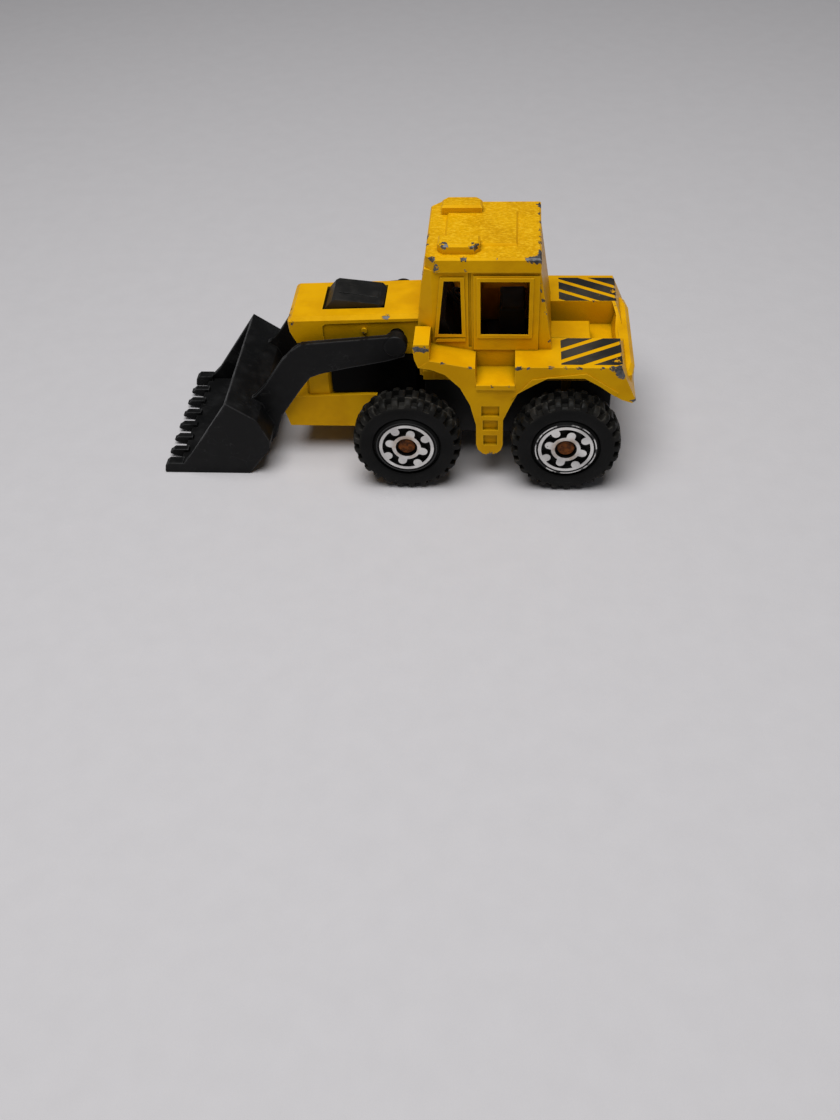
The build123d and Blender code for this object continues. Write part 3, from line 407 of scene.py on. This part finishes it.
def makeZinc():
    material, tree, shader, place = makeMaterial("spunZinc")
    grainOut = useGroup(tree, "fineGrain", {"Place": place, "Coarse": 1200.0, "Fine": 4200.0})
    lines = useGroup(tree, "scratches", {"Place": place, "Stretch": (700, 2600, 2600), "Width": 0.03})["Mask"]
    mixed = fade(tree, grainOut["Tone"], 0.35, 0.65)
    plug(tree, mixColour(tree, calc(tree, "MAXIMUM", mixed, lines), zinc["dark"], zinc["light"]), shader["Base Color"])
    plug(tree, mixValue(tree, mixed, 0.6, 0.85), shader["Metallic"])
    plug(tree, mixValue(tree, grainOut["Height"], 0.35, 0.6), shader["Roughness"])
    setBump(tree, shader, calc(tree, "SUBTRACT", grainOut["Height"], calc(tree, "MULTIPLY", lines, 0.4)), 0.03 * mm)
    return material


ink = {"black": (0.0135, 0.0125, 0.011, 1), "faded": (0.05, 0.042, 0.03, 1),
       "worn": [(-33.7, 11.2, 20.7, 0.5, 0.35, 0.4), (-34.1, -8.0, 20.7, 0.35, 0.5, 0.4)]}


def makeInk():
    material, tree, shader, place = makeMaterial("stripeInk")
    grainOut = useGroup(tree, "fineGrain", {"Place": place, "Coarse": 900.0, "Fine": 3600.0})
    torn = useGroup(tree, "raggedPlace", {"Place": place, "Grain": 1700.0, "Depth": 1.0 * mm})["Place"]
    specks = fade(tree, grain(tree, place, 1900.0, 4.0, 0.7).outputs["Fac"], 0.70, 0.74)
    lost = specks
    for x, y, z, halfX, halfY, halfZ in ink["worn"]:
        wires = {"Place": torn, "Centre": (x * mm, y * mm, z * mm), "Reach": (halfX * mm, halfY * mm, halfZ * mm)}
        lost = calc(tree, "MAXIMUM", lost, useGroup(tree, "chipSpot", wires)["Mask"])
    black = mixColour(tree, fade(tree, grainOut["Tone"], 0.4, 0.7), ink["black"], ink["faded"])
    plug(tree, mixColour(tree, lost, black, enamel["thin"]), shader["Base Color"])
    plug(tree, mixValue(tree, grainOut["Height"], 0.42, 0.62), shader["Roughness"])
    shader["Specular IOR Level"].default_value = 0.35
    setBump(tree, shader, grainOut["Height"], 0.025 * mm)
    return material


finishes = {
    "yellow": makeEnamel("yellowEnamel", enamel["chips"]),
    "chassis": makeBlackMoulding("chassisMoulding", blackMouldings["interior"]),
    "loader": makeBlackMoulding("loaderMoulding", blackMouldings["loader"]),
    "engine": makeBlackMoulding("engineMoulding", blackMouldings["engine"]),
    "interior": makeBlackMoulding("interiorMoulding", blackMouldings["interior"]),
    "rubber": makeRubber(), "foil": makeFoil(), "rust": makeRustySteel(), "zinc": makeZinc(), "ink": makeInk(),
}
print("finishes ready:", len(finishes))


# which finish goes on which node of the frame, and how far its corners are rounded
castings = {
    "body_shell": ("yellow", 0.16), "base_plate": ("chassis", 0.14), "rivet_head": ("zinc", 0.1),
    "engine_insert": ("engine", 0.12), "cab_interior": ("interior", 0.12),
    "stripes_left": ("ink", 0), "stripes_right": ("ink", 0),
    "front_axle": ("rust", 0), "rear_axle": ("rust", 0),
    "bucket": ("loader", 0.12), "arm_left": ("loader", 0.14), "arm_right": ("loader", 0.14),
}
for end in ("front", "rear"):
    for side in ("left", "right"):
        castings[f"hub_foil_{end}_{side}"] = ("foil", 0)


def finishNode(name, finish, rounding):
    node = nodes[name]
    node.data.materials.clear()
    node.data.materials.append(finishes[finish])
    if rounding:
        joined = node.modifiers.new("joinCorners", "WELD")
        joined.merge_threshold = 0.002 * mm
        flat = node.modifiers.new("flatFaces", "DECIMATE")
        flat.decimate_type = "DISSOLVE"
        flat.angle_limit = math.radians(1.5)
        soft = node.modifiers.new("castCorners", "BEVEL")
        soft.width = rounding * mm
        soft.segments = 2
        soft.limit_method = "ANGLE"
        soft.angle_limit = math.radians(28)
        soft.use_clamp_overlap = True
        soft.harden_normals = False


for name, (finish, rounding) in castings.items():
    finishNode(name, finish, rounding)
print("castings finished:", len(castings))


# the four wheels: one closed surface each, a profile carried round the axle
wheel = {
    "radius": 8.25, "inner": 11.4, "outer": 16.15, "bore": 0.78, "mouth": 1.65, "boreDepth": 0.7,
    "lugs": 25, "lugDepth": 0.85, "lugCrown": 0.16, "hubTurn": 16.0, "hubRecess": 0.55,
    "centreRing": 2.2, "outerRing": (3.68, 4.15), "lugHalf": 0.65, "outwardCap": 2.61, "inwardCap": 3.27,
    # where in each pitch of the tread the columns stand; close pairs make the walls of the lugs
    "columns": [0.0, 0.06, 0.12, 0.18, 0.232, 0.268, 0.32, 0.38, 0.44, 0.5, 0.56, 0.62, 0.68, 0.732, 0.768,
                0.82, 0.88, 0.94],
}


def hubHeight(radius, angle):
    # 1 on the raised pattern, 0 in the recess: the nearest of two rings and of four lugs out and four lugs in
    turned = angle - math.radians(wheel["hubTurn"])
    step = math.pi / 2
    outward = (turned + step / 2) % step - step / 2
    inward = turned % step - step / 2
    inner, outer = wheel["outerRing"]
    rings = np.minimum(radius - wheel["centreRing"], inner - radius)
    alongOut, acrossOut = radius * np.cos(outward), radius * np.sin(outward)
    alongIn, acrossIn = radius * np.cos(inward), radius * np.sin(inward)
    lugOut = np.hypot(np.maximum(alongOut - wheel["outwardCap"], 0), acrossOut) - wheel["lugHalf"]
    lugIn = np.hypot(np.maximum(wheel["inwardCap"] - alongIn, 0), acrossIn) - wheel["lugHalf"]
    gap = np.minimum(rings, np.minimum(lugOut, lugIn))
    return np.clip(0.5 - gap / 0.07, 0, 1)


def wheelProfile():
    # each knot: radius, distance along the axle, how far a gap between lugs cuts the radius and the width,
    # whose gaps cut it (1 the two shoulder rows, -1 the staggered middle row, 0 none), and steps to the next knot
    r, near, far = wheel["radius"], wheel["inner"], wheel["outer"]
    deep = wheel["lugDepth"]
    bottom = far - wheel["boreDepth"]
    knots = [(wheel["bore"], bottom, 0, 0, 0, 3), (wheel["mouth"], bottom, 0, 0, 0, 2),
             (wheel["mouth"] + 0.01, far - 0.04, 0, 0, 0, 1), (wheel["mouth"] + 0.06, far, 0, 0, 0, 44),
             (4.66, far, 0, 0, 0, 3), (5.02, far - 0.34, 0, 0, 0, 2), (5.06, far - 0.62, 0, 0, 0, 2),
             (5.2, far - 0.6, 0, 0, 0, 2), (5.24, far - 0.1, 0, 0, 0, 3), (5.5, far, 0, 0, 0, 3),
             (6.3, far + 0.03, 0, 0, 0, 3), (7.0, far - 0.02, 0, 0, 0, 2), (7.2, far - 0.04, 0, 0, 1, 1),
             (7.24, far - 0.04, 0, 0.35, 1, 3), (7.75, far - 0.14, 0.4, 0.4, 1, 3), (8.04, far - 0.42, 0.7, 0.3, 1, 3),
             (8.2, far - 0.8, deep, 0.05, 1, 3), (r, far - 1.4, deep, 0, 1, 1), (r, far - 1.46, 0, 0, -1, 1),
             (r, far - 1.5, deep, 0, -1, 6), (r, near + 1.5, deep, 0, -1, 1), (r, near + 1.46, 0, 0, 1, 1),
             (r, near + 1.4, deep, 0, 1, 3), (8.2, near + 0.8, deep, -0.05, 1, 3), (8.04, near + 0.42, 0.7, -0.3, 1, 3),
             (7.75, near + 0.14, 0.4, -0.4, 1, 3), (7.24, near + 0.04, 0, -0.35, 1, 1),
             (7.2, near, 0, 0, 1, 3), (6.0, near, 0, 0, 0, 2), (5.75, near + 0.1, 0, 0, 0, 2),
             (5.65, near + 1.6, 0, 0, 0, 3), (3.3, near + 1.6, 0, 0, 0, 3), (3.2, near + 1.5, 0, 0, 0, 2),
             (2.95, near + 0.05, 0, 0, 0, 2), (2.2, near, 0, 0, 0, 2), (1.9, near + 0.4, 0, 0, 0, 2),
             (wheel["bore"], near + 0.4, 0, 0, 0, 5)]
    knots = np.array(knots)
    counts = knots[:, 5].astype(int)
    start = np.repeat(np.arange(len(knots)), counts)
    share = np.concatenate([np.arange(count) / count for count in counts])[:, None]
    after = knots[(start + 1) % len(knots), :5]
    rows = knots[start, :5] * (1 - share) + after * share
    rows[:, 4] = knots[start, 4]
    return rows


def makeWheel(name, end, side):
    rows = wheelProfile()
    pitch = 2 * math.pi / wheel["lugs"]
    columns = (np.arange(wheel["lugs"])[:, None] + np.array(wheel["columns"])[None, :]).ravel()
    angle = columns * pitch
    phase = columns % 1.0
    fromOuter, fromInner = np.minimum(phase, 1 - phase), np.abs(phase - 0.5)
    gapOuter = np.clip((0.25 - fromOuter) / 0.03 + 0.5, 0, 1)
    gapInner = np.clip((0.25 - fromInner) / 0.03 + 0.5, 0, 1)
    # lugs are a little lower toward their side walls
    crownOuter = wheel["lugCrown"] * (1 - gapOuter) * (np.clip(0.5 - fromOuter, 0, 0.25) / 0.25) ** 3
    crownInner = wheel["lugCrown"] * (1 - gapInner) * (np.clip(0.5 - fromInner, 0, 0.25) / 0.25) ** 3
    radius = rows[:, 0][:, None] + 0 * angle[None, :]
    along = rows[:, 1][:, None] + 0 * angle[None, :]
    outerRow, treadRow = rows[:, 4][:, None] > 0, rows[:, 4][:, None] != 0
    cut = np.where(outerRow, gapOuter[None, :], gapInner[None, :]) * treadRow
    crown = np.where(outerRow, crownOuter[None, :], crownInner[None, :]) * treadRow
    onHub = (radius > wheel["mouth"] + 0.05) & (radius < 4.2) & (along > wheel["outer"] - 0.01)
    recess = wheel["hubRecess"] * (1 - hubHeight(radius, angle[None, :]))
    along = along - np.where(onHub, recess, 0) - cut * rows[:, 3][:, None]
    radius = radius - cut * rows[:, 2][:, None] - crown * rows[:, 2][:, None] / wheel["lugDepth"]
    sign = 1 if side == "left" else -1
    # the axle's place comes from its joint; angle runs from forward to up
    anchor = np.array(joints[f"{end}_{side}_wheel_spin"]["pos_m"])
    x = anchor[0] + radius * np.cos(angle) * mm
    z = anchor[2] + radius * np.sin(angle) * mm
    places = np.stack([x, sign * along * mm, z], axis=-1).reshape(-1, 3)
    rowCount, columnCount = radius.shape
    k, j = np.meshgrid(np.arange(rowCount), np.arange(columnCount), indexing="ij")
    nextK, nextJ = (k + 1) % rowCount, (j + 1) % columnCount
    corners = [k * columnCount + j, nextK * columnCount + j, nextK * columnCount + nextJ, k * columnCount + nextJ]
    if side == "left":
        corners = corners[::-1]
    faces = np.stack(corners, axis=-1).reshape(-1, 4)
    tread = np.clip((radius - 6.9) / 0.5, 0, 1).ravel()
    return makePiece(name, places, faces, "rubber", {"treadShare": tread})


def makePiece(name, places, faces, finish, values=None):
    mesh = bpy.data.meshes.new(name)
    mesh.vertices.add(len(places))
    mesh.vertices.foreach_set("co", places.astype(np.float32).ravel())
    mesh.loops.add(faces.size)
    mesh.loops.foreach_set("vertex_index", faces.astype(np.int32).ravel())
    mesh.polygons.add(len(faces))
    mesh.polygons.foreach_set("loop_start", np.arange(0, faces.size, faces.shape[1], dtype=np.int32))
    mesh.update(calc_edges=True)
    mesh.validate()
    for label, numbers in (values or {}).items():
        mesh.attributes.new(label, "FLOAT", "POINT").data.foreach_set("value", numbers.astype(np.float32))
    mesh.shade_smooth()
    mesh.set_sharp_from_angle(angle=math.radians(40))
    piece = bpy.data.objects.new(name, mesh)
    scene.collection.objects.link(piece)
    mesh.materials.append(finishes[finish])
    return piece


for end in ("front", "rear"):
    for side in ("left", "right"):
        tyre = makeWheel(f"tyre_{end}_{side}", end, side)
        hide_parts(f"wheel_{end}_{side}")
        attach(tyre, f"{end}_{side}_wheel")
print("wheels made: 4")


# floor, light and camera
studio = {
    "floorColour": (0.60, 0.585, 0.60, 1), "floorHalf": 0.9,
    "keyPower": 1.9, "keySize": 0.36, "keyPlace": (0.02, 0.09, 0.42), "keyTarget": (0, 0, 0),
    "fillPower": 0.02, "fillSize": 0.3, "fillPlace": (-0.25, 0.42, 0.22), "fillTarget": (0, 0, 0.015),
    "world": 0.07, "worldColour": (0.93, 0.96, 1.0, 1),
    "cameraPlace": (-18.424 * mm, 153.346 * mm, 116.185 * mm),
    "right": (-0.99691799, -0.06842016, -0.03838226), "up": (0.01959171, -0.69088201, 0.72270202),
    "forward": (0.075965, -0.71972267, -0.69009318), "lens": 36.966,
}


def makeFloor():
    # a flat square grid at the ground, in a pale plain card finish
    half, steps = studio["floorHalf"], 24
    line = np.linspace(-half, half, steps + 1)
    x, y = np.meshgrid(line, line, indexing="ij")
    places = np.stack([x, y, 0 * x], axis=-1).reshape(-1, 3)
    corner = (np.arange(steps)[:, None] * (steps + 1) + np.arange(steps)[None, :]).ravel()
    faces = np.stack([corner, corner + steps + 1, corner + steps + 2, corner + 1], axis=-1)
    finishes["card"] = makeCard()
    makePiece("floor", places, faces, "card")


def makeCard():
    material, tree, shader, place = makeMaterial("paleCard")
    grainOut = useGroup(tree, "fineGrain", {"Place": place, "Coarse": 1200.0, "Fine": 3600.0})
    tone = mixValue(tree, grainOut["Tone"], 0.96, 1.03)
    colour = addNode(tree, "VectorMath", {0: studio["floorColour"][:3], "Scale": tone}, operation="SCALE").outputs[0]
    plug(tree, colour, shader["Base Color"])
    shader["Roughness"].default_value = 0.75
    shader["Specular IOR Level"].default_value = 0.2
    setBump(tree, shader, grainOut["Height"], 0.04 * mm)
    return material


def makeLight(name, place, target, power, size):
    lamp = bpy.data.lights.new(name, "AREA")
    lamp.energy, lamp.size, lamp.shape = power, size, "DISK"
    holder = bpy.data.objects.new(name, lamp)
    scene.collection.objects.link(holder)
    away = Matrix.Translation(place).to_translation() - Matrix.Translation(target).to_translation()
    holder.matrix_world = Matrix.Translation(place) @ away.to_track_quat("Z", "Y").to_matrix().to_4x4()


def makeCamera():
    lens = bpy.data.cameras.new("camera")
    lens.sensor_width, lens.lens = 36.0, studio["lens"]
    lens.clip_start, lens.clip_end = 0.005, 10.0
    holder = bpy.data.objects.new("camera", lens)
    scene.collection.objects.link(holder)
    columns = [studio["right"], studio["up"], [-part for part in studio["forward"]]]
    turn = Matrix([[columns[c][r] for c in range(3)] for r in range(3)])
    holder.matrix_world = Matrix.Translation(studio["cameraPlace"]) @ turn.to_4x4()
    scene.camera = holder


makeFloor()
for lightName in ("key", "fill"):
    place, target, power, size = (studio[lightName + part] for part in ("Place", "Target", "Power", "Size"))
    makeLight(lightName, place, target, power, size)
makeCamera()
world = bpy.data.worlds.new("studioAir")
world.use_nodes = True
world.node_tree.nodes["Background"].inputs["Color"].default_value = studio["worldColour"]
world.node_tree.nodes["Background"].inputs["Strength"].default_value = studio["world"]
scene.world = world
scene.view_settings.view_transform = "Standard"
print("studio ready")
